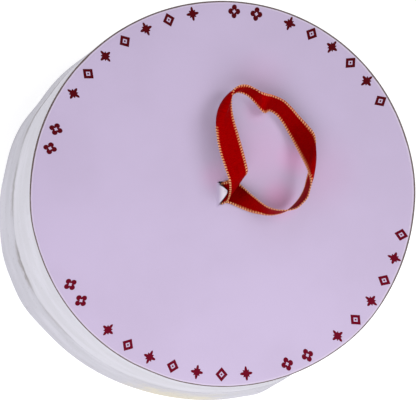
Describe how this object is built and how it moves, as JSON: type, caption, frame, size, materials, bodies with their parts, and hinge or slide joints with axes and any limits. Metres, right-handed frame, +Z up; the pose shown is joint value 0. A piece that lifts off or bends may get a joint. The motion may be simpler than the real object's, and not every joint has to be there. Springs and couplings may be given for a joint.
{
  "type": "round cake gift box",
  "caption": "Shut round card box for a tall cake, with a deep lid, a lilac printed top and a loose loop of red ribbon as its handle.",
  "frame": {"origin": "middle of the underside of the box, on the surface that it stands on", "axes": "+Z up through the middle of the lid, +Y towards the top of the picture that looks down on the lid, +X to its right"},
  "size_m": [0.2403, 0.2469, 0.2275],
  "materials": {
    "drum_card": "satin",
    "wall_paper": "satin",
    "lid_card": "matt",
    "lilac_print": "satin print with dark red ornaments",
    "tab_card": "matt",
    "red_ribbon": "woven, with gold selvedges"
  },
  "bodies": {
    "root": {"drum": "drum_card", "lid_skirt": "wall_paper", "lid_board": "lid_card", "top_card": "lilac_print", "slot_tab": "tab_card", "ribbon_handle": "red_ribbon"}
  },
  "joints": []
}
